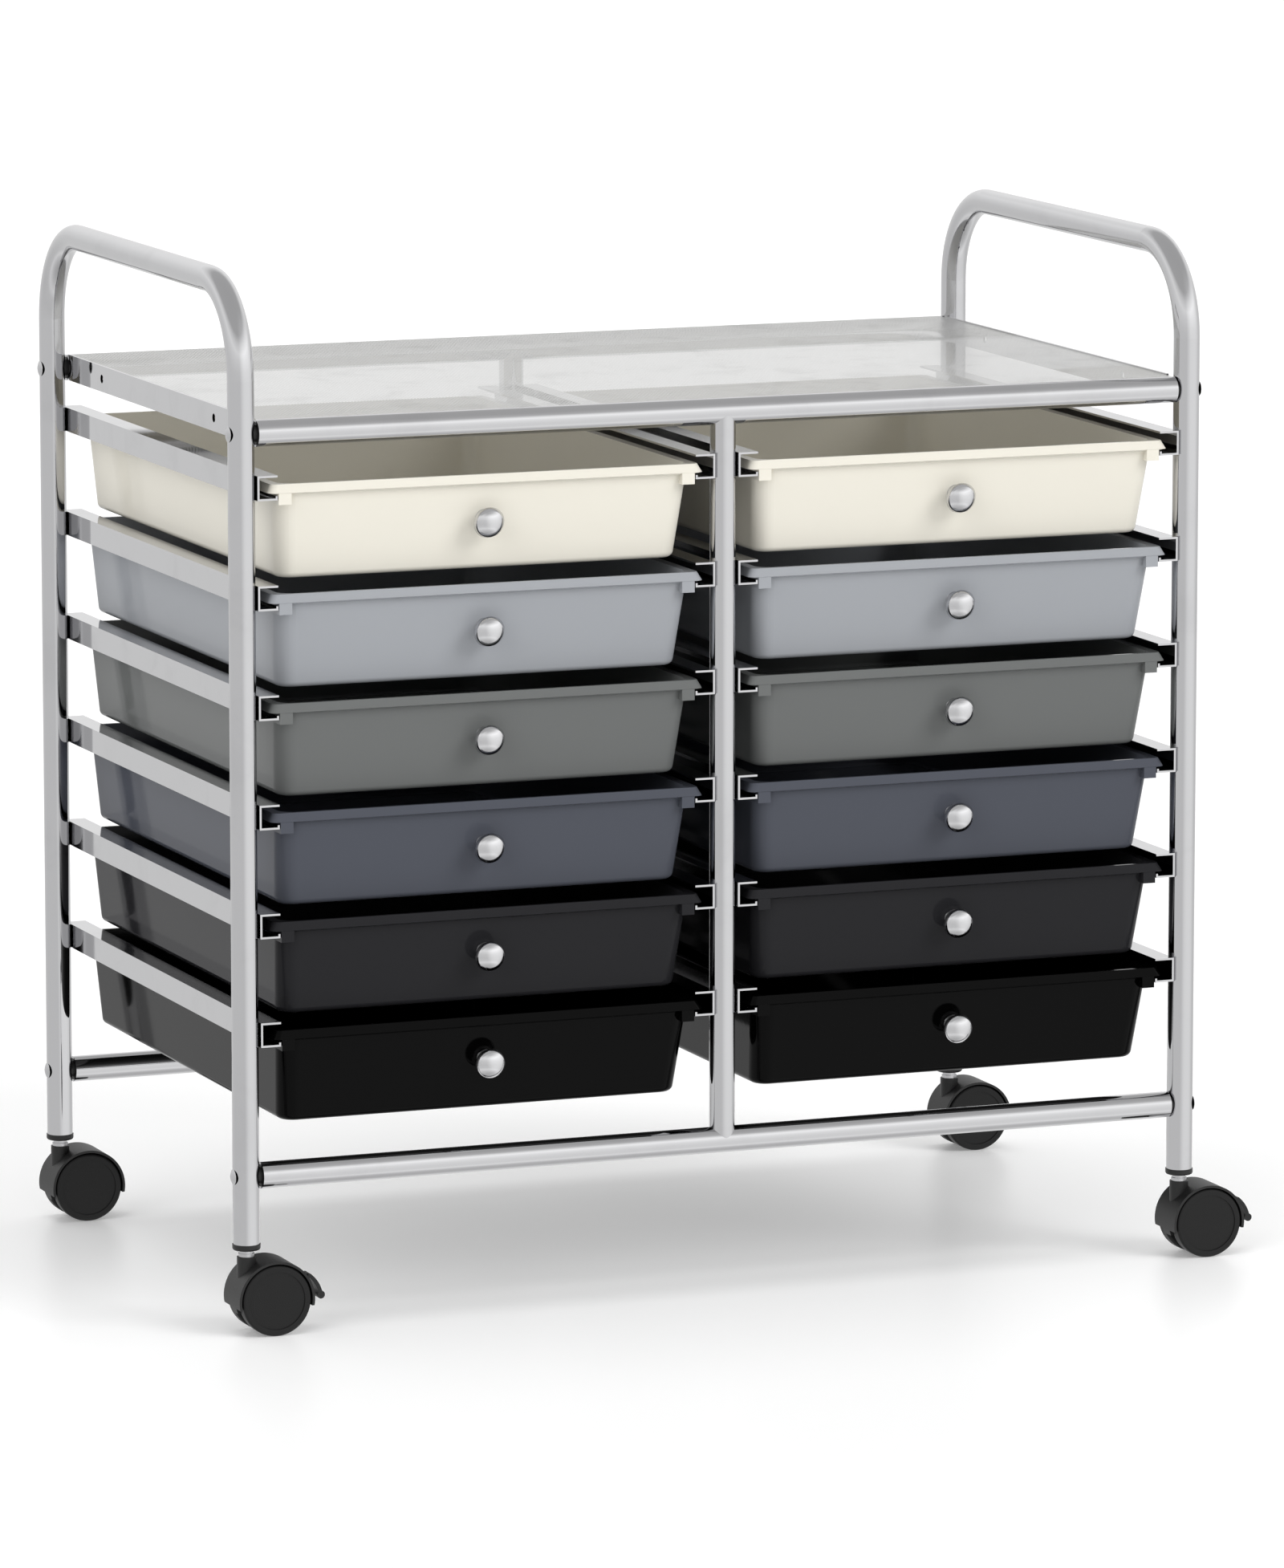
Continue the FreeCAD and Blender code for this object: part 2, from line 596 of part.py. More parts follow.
def caster_wheels():
    """The two wheels of a caster, one on each side of the web."""
    inner_y = WEB_T / 2 + WHEEL_WEB_GAP
    disc = rod(WHEEL_D / 2, V(0, 0, 0), V(0, 0, WHEEL_W))
    disc = disc.makeFillet(WHEEL_EDGE_R, edges_at(disc, 0) + edges_at(disc, WHEEL_W))
    disc = disc.cut(rod(WHEEL_FACE_D / 2, V(0, 0, WHEEL_W - WHEEL_FACE_DEPTH), V(0, 0, WHEEL_W)))
    hub_r = AXLE_D / 2 + AXLE_RUNNING_CLEARANCE
    disc = disc.cut(rod(hub_r, V(0, 0, 0), V(0, 0, WHEEL_HUB_DEPTH)))
    wheels = []
    for side in (-1, 1):
        place = FreeCAD.Placement(V(TRAIL, side * inner_y, axle_z), FreeCAD.Rotation(UP, V(0, side, 0)))
        wheel = disc.copy()
        wheel.Placement = place
        wheels.append(wheel)
    return Part.makeCompound(wheels)


def beside(start, end, distance, share):
    """A point (x, z) beside the straight run between two points, to its left, at a share of the run."""
    dx, dz = end[0] - start[0], end[1] - start[1]
    length = math.hypot(dx, dz)
    x = start[0] + share * dx - distance * dz / length
    z = start[1] + share * dz + distance * dx / length
    return x, z


def strip(start, end, bulge, half_width):
    """A flat or gently curved strip of the lever's thickness between two (x, z) points."""
    runs = []
    for offset in (LEVER_T / 2, -LEVER_T / 2):
        first = beside(start, end, offset, 0)
        middle = beside(start, end, offset + bulge, 0.5)
        last = beside(start, end, offset, 1)
        runs.append([V(x, -half_width, z) for x, z in (first, middle, last)])
    upper, lower = runs
    if bulge:
        sides = [Part.Arc(*upper).toShape(), Part.Arc(*lower).toShape()]
    else:
        sides = [Part.makeLine(upper[0], upper[2]), Part.makeLine(lower[0], lower[2])]
    ends = [Part.makeLine(upper[2], lower[2]), Part.makeLine(lower[0], upper[0])]
    outline = Part.Wire(Part.__sortEdges__(sides + ends))
    return Part.Face(outline).extrude(V(0, 2 * half_width, 0))


def brake_lever():
    """A lever on a pivot inside the hood: an arm through its slot and a pedal with a beaded tip."""
    pivot = lever_pivot()
    angle = math.radians(LEVER_PEDAL_ANGLE)
    start_r = fender_r + LEVER_PEDAL_GAP
    start = (TRAIL + start_r * math.cos(angle), axle_z + start_r * math.sin(angle))
    tip = (TRAIL + fender_r + LEVER_REACH, axle_z + LEVER_TIP_RISE)
    lever = strip(pivot, start, 0, LEVER_ARM_W / 2)
    lever = lever.fuse(across(LEVER_HUB_D / 2, LEVER_ARM_W / 2, *pivot))
    lever = lever.fuse(across(LEVER_PIN_D / 2, WEB_T / 2 - LEVER_PIN_END_GAP, *pivot))
    lever = lever.fuse(strip(start, tip, LEVER_PEDAL_BULGE, LEVER_PEDAL_W / 2))
    lever = lever.fuse(across(LEVER_T / 2, LEVER_PEDAL_W / 2, *start))
    return lever.fuse(across(LEVER_BEAD_D / 2, LEVER_PEDAL_W / 2, *tip)).removeSplitter()


# All the nodes, by name

nodes = {
    "left_side_frame": side_frame(-leg_x),
    "right_side_frame": side_frame(leg_x),
    "top_front_bar": cross_bar(-leg_y, top_bar_z),
    "top_rear_bar": cross_bar(leg_y, top_bar_z),
    "bottom_front_bar": cross_bar(-leg_y, bottom_bar_z),
    "bottom_rear_bar": cross_bar(leg_y, bottom_bar_z),
    "front_centre_post": centre_post(-leg_y),
    "rear_centre_post": centre_post(leg_y),
    "tube_end_inserts": at_bar_ends(end_insert),
    "frame_bolts": at_bar_ends(frame_bolt),
    "shelf_left_bar": shelf_side_bar(-1),
    "shelf_right_bar": shelf_side_bar(1),
    "shelf_mesh": shelf_net(),
    "left_rails": rail_column(-leg_web_x, 1, -leg_x, tube_r),
    "centre_left_rails": rail_column(-post_web_x, -1, 0, post_r),
    "centre_right_rails": rail_column(post_web_x, 1, 0, post_r),
    "right_rails": rail_column(leg_web_x, -1, leg_x, tube_r),
    "caster_sockets": Part.makeCompound(four_legs(caster_socket())),
}

one_drawer = drawer()
one_knob = knob()
for column, middle in (("left", -column_x), ("right", column_x)):
    for row in range(ROWS):
        place = V(middle, 0, row_z(row))
        nodes[f"drawer_{column}_{row + 1}"] = one_drawer.translated(place)
        nodes[f"knob_{column}_{row + 1}"] = one_knob.translated(place)

for depth, y in (("front", -leg_y), ("rear", leg_y)):
    for side, x in (("left", -leg_x), ("right", leg_x)):
        place = V(x, y, 0)
        name = f"{depth}_{side}_caster"
        nodes[f"{name}_stem"] = caster_stem().translated(place)
        nodes[f"{name}_hood"] = caster_hood(depth == "front").translated(place)
        nodes[f"{name}_axle"] = caster_axle().translated(place)
        nodes[f"{name}_wheels"] = caster_wheels().translated(place)
        if depth == "front":
            nodes[f"{name}_brake_lever"] = brake_lever().translated(place)

os.makedirs("parts", exist_ok=True)
for name, shape in nodes.items():
    shape.exportStep(f"parts/{name}.step")
    state = "valid" if shape.isValid() else "INVALID"
    print(name, len(shape.Solids), "solids", round(shape.Volume), "mm3", state)
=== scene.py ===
# %% [markdown]
# # A rolling drawer cart
#
# The cart is a chrome tube frame on twin-wheel casters. It carries two columns of sliding plastic
# drawers, one colour to each row, under a shelf of fine metal mesh. Its pieces come from a packed
# model that knows how they move. This lesson adds what the eye needs: finishes, a real mesh on the
# shelf, turned knobs, and a small white studio to stand the cart in.

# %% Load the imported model
import json
import math

import bmesh
import bpy
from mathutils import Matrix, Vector


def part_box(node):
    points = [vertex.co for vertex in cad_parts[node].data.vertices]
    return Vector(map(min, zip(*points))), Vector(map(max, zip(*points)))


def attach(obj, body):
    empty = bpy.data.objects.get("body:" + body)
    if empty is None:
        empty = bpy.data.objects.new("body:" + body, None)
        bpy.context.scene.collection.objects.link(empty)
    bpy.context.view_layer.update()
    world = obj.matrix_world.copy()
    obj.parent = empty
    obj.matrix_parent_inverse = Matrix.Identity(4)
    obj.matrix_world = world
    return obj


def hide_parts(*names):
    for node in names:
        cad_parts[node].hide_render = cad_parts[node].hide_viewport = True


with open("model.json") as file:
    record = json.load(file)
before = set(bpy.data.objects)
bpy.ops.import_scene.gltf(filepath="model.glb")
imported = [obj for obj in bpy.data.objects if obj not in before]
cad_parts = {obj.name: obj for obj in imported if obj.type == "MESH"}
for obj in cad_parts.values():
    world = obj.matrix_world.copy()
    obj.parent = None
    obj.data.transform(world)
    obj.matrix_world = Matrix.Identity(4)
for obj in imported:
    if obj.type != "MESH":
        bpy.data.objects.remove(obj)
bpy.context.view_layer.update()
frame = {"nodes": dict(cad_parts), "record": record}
nodes = frame["nodes"]

# %% [markdown]
# ## The camera
#
# A catalogue view is taken from far away with a long lens, so that the cart's edges stay nearly
# parallel. A close camera with a short lens would show the same side, but would splay the legs. The
# place is in metres, the turns are in degrees, and the lens and its sensor are in millimetres. The
# cart stands at the origin. A camera with no turn looks straight down, so level is a quarter turn.

# %% Camera
CAMERA_PLACE = (-2.0877, -5.3337, 1.2175)
CAMERA_YAW = 21.549
CAMERA_PITCH = 9.228
CAMERA_LENS = 214.45
SENSOR_WIDTH = 36.0
LEVEL = 90


def add_object(name, data):
    """A new object in the scene, made from its data."""
    made = bpy.data.objects.new(name, data)
    bpy.context.scene.collection.objects.link(made)
    return made


camera_data = bpy.data.cameras.new("studio_camera")
camera_data.lens = CAMERA_LENS
camera_data.sensor_width = SENSOR_WIDTH
camera = add_object("studio_camera", camera_data)
camera.location = CAMERA_PLACE
camera.rotation_euler = (math.radians(LEVEL - CAMERA_PITCH), 0, math.radians(-CAMERA_YAW))
bpy.context.scene.camera = camera
print("camera", CAMERA_LENS, "mm at", CAMERA_PLACE)

# %% [markdown]
# ## Shared effects as node groups
#
# Several finishes need the same small effect, with other amounts. In Blender such an effect is a
# node group: a box of nodes with named inputs and outputs, which is built once and placed in each
# material. It could be drawn in the shader editor, but a script makes the same group each time. The
# helpers below make a node with its values in one line, and link nodes from a plain list.

# %% Helpers for node trees
FLOAT = "NodeSocketFloat"
COLOUR = "NodeSocketColor"


def add_node(tree, kind, **values):
    """A new node, with named properties or inputs set."""
    node = tree.nodes.new(kind)
    for name, value in values.items():
        if hasattr(node, name):
            setattr(node, name, value)
        else:
            node.inputs[name.replace("_", " ")].default_value = value
    return node


def add_math(tree, operation, *values, clamp=False):
    """A math node. Fixed inputs are given in order, and None stands for a linked one."""
    node = add_node(tree, "ShaderNodeMath", operation=operation, use_clamp=clamp)
    for socket, value in zip(node.inputs, values):
        if value is not None:
            socket.default_value = value
    return node


def join(tree, *links):
    """Links between nodes, each given as a node, its output, the next node and its input."""
    for source, output, target, entry in links:
        tree.links.new(source.outputs[output], target.inputs[entry])


def new_group(name, inputs, outputs):
    """An empty shader group with its sockets, and the nodes at its two ends."""
    tree = bpy.data.node_groups.new(name, "ShaderNodeTree")
    for label, kind, value in inputs:
        socket = tree.interface.new_socket(label, in_out="INPUT", socket_type=kind)
        socket.default_value = value
    for label, kind in outputs:
        tree.interface.new_socket(label, in_out="OUTPUT", socket_type=kind)
    return tree, tree.nodes.new("NodeGroupInput"), tree.nodes.new("NodeGroupOutput")


def place_group(tree, group, **values):
    """A group placed in a material, with its own values."""
    return add_node(tree, "ShaderNodeGroup", node_tree=group, **values)


print("node helpers ready")

# %% [markdown]
# ### Moulded plastic
#
# A moulded wall is never perfectly even. The polished steel mould leaves a very shallow ripple,
# which shows as a slight waver in reflections, and the pigment clouds a little as the plastic flows.
# A picture of such a wall would repeat and blur up close. Two noise textures do both instead: a fine
# one for the height of the ripple, and a broad one for tone and roughness.

# %% Group: moulded skin
NOISE_MIDDLE = 0.5

moulded_skin, skin_in, skin_out = new_group(
    "moulded_skin",
    [("Colour", COLOUR, (0.5, 0.5, 0.5, 1)), ("Roughness", FLOAT, 0.2),
     ("Ripple Scale", FLOAT, 160.0), ("Cloud Scale", FLOAT, 7.0),
     ("Cloud", FLOAT, 0.06), ("Roughness Spread", FLOAT, 0.06)],
    [("Colour", COLOUR), ("Roughness", FLOAT), ("Height", FLOAT)],
)
skin_place = add_node(moulded_skin, "ShaderNodeTexCoord")
skin_ripple = add_node(moulded_skin, "ShaderNodeTexNoise", Detail=3.0, Roughness=0.6)
skin_cloud = add_node(moulded_skin, "ShaderNodeTexNoise", Detail=4.0, Roughness=0.55)
skin_half = add_math(moulded_skin, "SUBTRACT", None, NOISE_MIDDLE)
skin_tone = add_math(moulded_skin, "MULTIPLY_ADD", None, None, 1.0)
skin_gloss = add_math(moulded_skin, "MULTIPLY_ADD")
skin_shade = add_node(moulded_skin, "ShaderNodeVectorMath", operation="SCALE")
join(
    moulded_skin,
    (skin_place, "Object", skin_ripple, "Vector"),
    (skin_place, "Object", skin_cloud, "Vector"),
    (skin_in, "Ripple Scale", skin_ripple, "Scale"),
    (skin_in, "Cloud Scale", skin_cloud, "Scale"),
    (skin_cloud, "Fac", skin_half, 0),
    (skin_half, 0, skin_tone, 0),
    (skin_in, "Cloud", skin_tone, 1),
    (skin_in, "Colour", skin_shade, 0),
    (skin_tone, 0, skin_shade, "Scale"),
    (skin_half, 0, skin_gloss, 0),
    (skin_in, "Roughness Spread", skin_gloss, 1),
    (skin_in, "Roughness", skin_gloss, 2),
    (skin_shade, 0, skin_out, "Colour"),
    (skin_gloss, 0, skin_out, "Roughness"),
    (skin_ripple, "Fac", skin_out, "Height"),
)
print("group", moulded_skin.name, len(moulded_skin.nodes), "nodes")

# %% [markdown]
# ### Plated metal
#
# Chrome plate is a mirror, but a handled one: a thin haze of wiped finger marks and dust breaks the
# reflections in patches. The group turns a distorted noise into a small rise of roughness and a
# faint drop in brightness, so the tubes do not look like computer mirrors. The painted shade input
# darkens the colour towards black where holes and gaps should lie in shade: that is painted shade.

# %% Group: plated skin
HAZE_STARTS, HAZE_FULL = 0.48, 0.72
HAZE_DIMMING = -0.05

plated_skin, plate_in, plate_out = new_group(
    "plated_skin",
    [("Colour", COLOUR, (0.6, 0.6, 0.6, 1)), ("Roughness", FLOAT, 0.05),
     ("Haze Scale", FLOAT, 14.0), ("Haze", FLOAT, 0.06), ("Painted Shade", FLOAT, 0.0)],
    [("Colour", COLOUR), ("Roughness", FLOAT)],
)
plate_place = add_node(plated_skin, "ShaderNodeTexCoord")
plate_noise = add_node(plated_skin, "ShaderNodeTexNoise",
                       Detail=6.0, Roughness=0.62, Distortion=0.6)
plate_mask = add_node(plated_skin, "ShaderNodeMapRange", interpolation_type="SMOOTHSTEP",
                      From_Min=HAZE_STARTS, From_Max=HAZE_FULL)
plate_rough = add_math(plated_skin, "MULTIPLY_ADD")
plate_dim = add_math(plated_skin, "MULTIPLY_ADD", None, HAZE_DIMMING, 1.0)
# Painted shade: where the mask is 1, the colour goes to black.
plate_unshaded = add_math(plated_skin, "SUBTRACT", 1.0, clamp=True)
plate_keep = add_math(plated_skin, "MULTIPLY")
plate_shade = add_node(plated_skin, "ShaderNodeVectorMath", operation="SCALE")
join(
    plated_skin,
    (plate_place, "Object", plate_noise, "Vector"),
    (plate_in, "Haze Scale", plate_noise, "Scale"),
    (plate_noise, "Fac", plate_mask, "Value"),
    (plate_mask, "Result", plate_rough, 0),
    (plate_in, "Haze", plate_rough, 1),
    (plate_in, "Roughness", plate_rough, 2),
    (plate_mask, "Result", plate_dim, 0),
    (plate_in, "Colour", plate_shade, 0),
    (plate_in, "Painted Shade", plate_unshaded, 1),
    (plate_dim, 0, plate_keep, 0),
    (plate_unshaded, 0, plate_keep, 1),
    (plate_keep, 0, plate_shade, "Scale"),
    (plate_shade, 0, plate_out, "Colour"),
    (plate_rough, 0, plate_out, "Roughness"),
)
print("group", plated_skin.name, len(plated_skin.nodes), "nodes")

# %% [markdown]
# ### Hanging holes
#
# The flat side bars of the shelf have small holes near their ends, for screws or hooks. They lie at
# known places on the cart, so a mask can be worked out from a point's own coordinates: its distance
# from the hole's axis, which runs along X. The rear hole mirrors the front one. The mask paints shade
# into the holes. Painting the mask by hand would work too, but would have to be done again after any
# change of size.

# %% Group: hole mask
hole_shade_mask, hole_in, hole_out = new_group(
    "hole_shade_mask",
    [("Place Y", FLOAT, 0.1), ("Place Z", FLOAT, 0.5), ("Radius", FLOAT, 0.003)],
    [("Mask", FLOAT)],
)
hole_place = add_node(hole_shade_mask, "ShaderNodeTexCoord")
hole_axes = add_node(hole_shade_mask, "ShaderNodeSeparateXYZ")
hole_mirror = add_math(hole_shade_mask, "ABSOLUTE")
hole_along = add_math(hole_shade_mask, "SUBTRACT")
hole_above = add_math(hole_shade_mask, "SUBTRACT")
hole_offset = add_node(hole_shade_mask, "ShaderNodeCombineXYZ")
hole_reach = add_node(hole_shade_mask, "ShaderNodeVectorMath", operation="LENGTH")
hole_test = add_math(hole_shade_mask, "LESS_THAN")
join(
    hole_shade_mask,
    (hole_place, "Object", hole_axes, 0),
    (hole_axes, "Y", hole_mirror, 0),
    (hole_mirror, 0, hole_along, 0),
    (hole_in, "Place Y", hole_along, 1),
    (hole_axes, "Z", hole_above, 0),
    (hole_in, "Place Z", hole_above, 1),
    (hole_along, 0, hole_offset, "Y"),
    (hole_above, 0, hole_offset, "Z"),
    (hole_offset, 0, hole_reach, 0),
    (hole_reach, "Value", hole_test, 0),
    (hole_in, "Radius", hole_test, 1),
    (hole_test, 0, hole_out, "Mask"),
)
print("group", hole_shade_mask.name, len(hole_shade_mask.nodes), "nodes")

# %% [markdown]
# ### The seats of the bolts
#
# A bolt's flat head stands off the round leg, and the narrow gap under it lies in shade. A dark ring
# could be modelled there, but the gap is modelled already and only shines too much, so the mask
# paints its shade into the chrome's colour. How far out along X a point lies tells the gap from the
# head, so that is the whole mask.

# %% Group: seat mask
seat_shade_mask, seat_in, seat_out = new_group("seat_shade_mask", [("Reach", FLOAT, 0.3)], [("Mask", FLOAT)])
seat_place = add_node(seat_shade_mask, "ShaderNodeTexCoord")
seat_axes = add_node(seat_shade_mask, "ShaderNodeSeparateXYZ")
seat_mirror = add_math(seat_shade_mask, "ABSOLUTE")
seat_test = add_math(seat_shade_mask, "LESS_THAN")
join(
    seat_shade_mask,
    (seat_place, "Object", seat_axes, 0),
    (seat_axes, "X", seat_mirror, 0),
    (seat_mirror, 0, seat_test, 0),
    (seat_in, "Reach", seat_test, 1),
    (seat_test, 0, seat_out, "Mask"),
)
print("group", seat_shade_mask.name, len(seat_shade_mask.nodes), "nodes")

# %% [markdown]
# ## Plated finishes
#
# Each finish is one material with a Principled shader. Plated steel is fully metallic, and its
# colour is how much light it gives back. The tubes and rails are the clearest mirrors. The shelf's
# mesh and the zinc of the caster stems and axles are duller. They differ only in a few amounts, so
# one function makes them all from a table, in place of six materials built by hand.

# %% Materials: plated metal
PLATED = {  # colour, roughness, scale of the haze, strength of the haze
    "chrome_tube": ((0.56, 0.56, 0.57), 0.05, 14.0, 0.05),
    "rail_chrome": ((0.58, 0.58, 0.59), 0.04, 20.0, 0.05),
    "bolt_chrome": ((0.55, 0.55, 0.56), 0.10, 60.0, 0.08),
    "knob_chrome": ((0.62, 0.62, 0.63), 0.12, 70.0, 0.06),
    "mesh_wire": ((0.67, 0.67, 0.66), 0.28, 30.0, 0.10),
    "zinc": ((0.52, 0.52, 0.53), 0.26, 90.0, 0.14),
}
HOLE_SHADE_PLACE = {"Place_Y": 0.106, "Place_Z": 0.54135, "Radius": 0.0027}
BOLT_GAP_SHADE = {"Reach": 0.3134}


def new_material(name):
    """A node material with a Principled shader."""
    material = bpy.data.materials.new(name)
    material.use_nodes = True
    return material, material.node_tree, material.node_tree.nodes["Principled BSDF"]


def plated_material(name, tone, roughness, haze_scale, haze):
    """Bright plated steel with a patchy haze."""
    material, tree, shader = new_material(name)
    shader.inputs["Metallic"].default_value = 1.0
    skin = place_group(tree, plated_skin, Colour=(*tone, 1), Roughness=roughness,
                       Haze_Scale=haze_scale, Haze=haze)
    join(tree, (skin, "Colour", shader, "Base Color"), (skin, "Roughness", shader, "Roughness"))
    return material


def add_painted_shade(material, mask, **values):
    """Paint shade into a plated material, darkening it where a mask group says so."""
    tree = material.node_tree
    skin = next(node for node in tree.nodes if node.type == "GROUP")
    placed = place_group(tree, mask, **values)
    join(tree, (placed, "Mask", skin, "Painted Shade"))


finishes = {name: plated_material(name, *values) for name, values in PLATED.items()}
# Painted shade: black in the shelf bars' hole bores and in the gaps under the bolt heads.
add_painted_shade(finishes["rail_chrome"], hole_shade_mask, **HOLE_SHADE_PLACE)
add_painted_shade(finishes["bolt_chrome"], seat_shade_mask, **BOLT_GAP_SHADE)
print("plated finishes", sorted(finishes))

# %% [markdown]
# ## Moulded finishes
#
# Plastic is not metallic: its colour is the pigment, and a smooth skin on top reflects a little,
# more at a slant. The bump node turns the ripple's height into a tilt of the surface, which costs no
# faces. The drawers share one smooth skin and go from cream at the top to black at the bottom. The
# casters and small fittings are black, with a rougher skin and a finer, stronger ripple.

# %% Materials: moulded plastic
DRAWER_TONES = (
    (0.803, 0.773, 0.685),
    (0.354, 0.368, 0.392),
    (0.152, 0.158, 0.156),
    (0.080, 0.086, 0.105),
    (0.019, 0.019, 0.021),
    (0.001, 0.001, 0.001),
)
DRAWER_SKIN = (0.07, 0.08, 160.0, 0.03, 0.04)  # as in the table below, without the colour
BLACK_PARTS = {  # colour, roughness, specular level, scale and strength of the ripple, clouding
    "black_fitting": ((0.010, 0.010, 0.010), 0.42, 0.40, 900.0, 0.15, 0.2),
    "black_caster": ((0.012, 0.012, 0.012), 0.46, 0.36, 1100.0, 0.25, 0.2),
    "black_wheel": ((0.008, 0.008, 0.008), 0.50, 0.26, 1300.0, 0.25, 0.2),
}
RIPPLE_DEPTH = 0.0004


def moulded_material(name, tone, roughness, level, ripple_scale, ripple, cloud):
    """Pigmented plastic with a rippled skin."""
    material, tree, shader = new_material(name)
    shader.inputs["Specular IOR Level"].default_value = level
    skin = place_group(tree, moulded_skin, Colour=(*tone, 1), Roughness=roughness,
                       Ripple_Scale=ripple_scale, Cloud=cloud)
    bump = add_node(tree, "ShaderNodeBump", Strength=ripple, Distance=RIPPLE_DEPTH)
    join(
        tree,
        (skin, "Colour", shader, "Base Color"),
        (skin, "Roughness", shader, "Roughness"),
        (skin, "Height", bump, "Height"),
        (bump, "Normal", shader, "Normal"),
    )
    return material


for row, tone in enumerate(DRAWER_TONES, start=1):
    slot = f"drawer_row_{row}"
    finishes[slot] = moulded_material(slot, tone, *DRAWER_SKIN)
for slot, values in BLACK_PARTS.items():
    finishes[slot] = moulded_material(slot, *values)
print("finishes", sorted(finishes))

# %% [markdown]
# ## Finishes on the pieces
#
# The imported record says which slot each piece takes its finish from. A loop over that list puts one
# material on every piece, so no piece is forgotten and none is named twice.

# %% Put the finishes on
for part in frame["record"]["subparts"]:
    mesh = nodes[part["node"]].data
    mesh.materials.clear()
    mesh.materials.append(finishes[part["material_slot"]])

# %% [markdown]
# ## The mesh of the shelf
#
# The shelf is a fine metal mesh. From above it is a grid of small square holes, and at a slant the
# strips close up until it reads as a pale grey sheet. A see-through picture on a flat sheet would be
# quick, but it has no thickness and fails up close. Real strips are cheap here, because each is
# straight: one layer runs from front to rear, and the other lies across it.

# %% Shelf mesh
STRIP_PITCH = 0.002
STRIP_WIDTH = 0.0010
STRIP_THICKNESS = 0.00002
STRIP_BED = 0.0002

net_low, net_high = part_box("shelf_mesh")
net_bm = bmesh.new()


def add_strip(bm, low, high):
    """A flat strip between two corners."""
    corners = bmesh.ops.create_cube(bm, size=1.0)["verts"]
    bmesh.ops.scale(bm, vec=high - low, verts=corners)
    bmesh.ops.translate(bm, vec=(low + high) / 2, verts=corners)


def even_steps(low, high, pitch):
    """The middles of equal steps between two ends, about a pitch apart."""
    count = round((high - low) / pitch)
    return [low + (high - low) * (step + 0.5) / count for step in range(count)]


lower_z = net_low.z + STRIP_BED
upper_z = lower_z + STRIP_THICKNESS
half_strip = STRIP_WIDTH / 2
for x in even_steps(net_low.x, net_high.x, STRIP_PITCH):
    add_strip(net_bm, Vector((x - half_strip, net_low.y, lower_z)),
              Vector((x + half_strip, net_high.y, upper_z)))
for y in even_steps(net_low.y, net_high.y, STRIP_PITCH):
    add_strip(net_bm, Vector((net_low.x, y - half_strip, upper_z)),
              Vector((net_high.x, y + half_strip, upper_z + STRIP_THICKNESS)))
net_mesh = bpy.data.meshes.new("shelf_wire_mesh")
net_bm.to_mesh(net_mesh)
net_bm.free()
net_mesh.materials.append(finishes["mesh_wire"])
shelf_wires = add_object("shelf_wire_mesh", net_mesh)
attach(shelf_wires, "cart_frame")
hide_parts("shelf_mesh")
print("shelf mesh", len(net_mesh.vertices), "points")

# %% [markdown]
# ## The outline of a knob
#
# Each drawer has a small turned knob: a slim neck, a tapered rim that mirrors the drawer behind it,
# and a low dome for a face. A screw from inside the drawer holds it. A turned piece is a half outline
# swept around its axis, so the outline comes first. Its points are radius and height in millimetres,
# measured from the drawer's front. The dome is an arc, worked out so that it bends evenly.

# %% Knob outline
FACE_RADIUS, FACE_SET = 8.0, 12.2
DOME_HEIGHT, DOME_STEPS = 3.3, 10
NECK_OUTLINE = [
    (0.0, 0.0), (5.4, 0.0), (5.0, 0.8), (4.7, 2.4), (4.8, 4.6), (5.7, 6.0), (7.6, 7.3),
]
RIM_OUTLINE = [(9.2, 8.4), (9.55, 8.9), (9.6, 9.4), (8.35, 11.9)]
SCREW_OUTLINE = [(0.0, -4.4), (2.8, -4.3), (3.5, -3.7), (3.5, -2.0), (0.0, -2.0)]

dome_radius = (FACE_RADIUS**2 + DOME_HEIGHT**2) / (2 * DOME_HEIGHT)
dome_edge = math.asin(FACE_RADIUS / dome_radius)
dome_centre = FACE_SET + DOME_HEIGHT - dome_radius
dome_turns = [dome_edge * (1 - step / DOME_STEPS) for step in range(DOME_STEPS + 1)]
dome_outline = [
    (dome_radius * math.sin(turn), dome_centre + dome_radius * math.cos(turn))
    for turn in dome_turns
]
knob_outline = NECK_OUTLINE + RIM_OUTLINE + dome_outline
print("knob outline", len(knob_outline), "points")

# %% [markdown]
# ## The knobs
#
# A curve with a Screw modifier would sweep the outline too, but here the rings of points are placed
# directly, so the mesh is plain and its rings lie where the outline bends most. A drawer's front
# slopes in towards its floor, so the knob's axis points a little down. Edges sharper than a limit
# stay crisp, and the rest is shaded smooth.

# %% Knobs
COLUMN_SIDES = {"left": -1, "right": 1}
KNOB_FOOT = Vector((0.152625, -0.1772365, 0.4835))
ROW_STEP = 0.0654
KNOB_AXIS = Vector((0.0, -0.9744, -0.2250)).normalized()
KNOB_SEGMENTS = 48
SHARP_DEGREES = 35
MM_PER_METRE = 1000
ON_AXIS = 0.001

knob_across = Vector((1.0, 0.0, 0.0))
knob_up = KNOB_AXIS.cross(knob_across)
knob_turns = [2 * math.pi * step / KNOB_SEGMENTS for step in range(KNOB_SEGMENTS)]
knob_spokes = [knob_across * math.cos(turn) + knob_up * math.sin(turn) for turn in knob_turns]


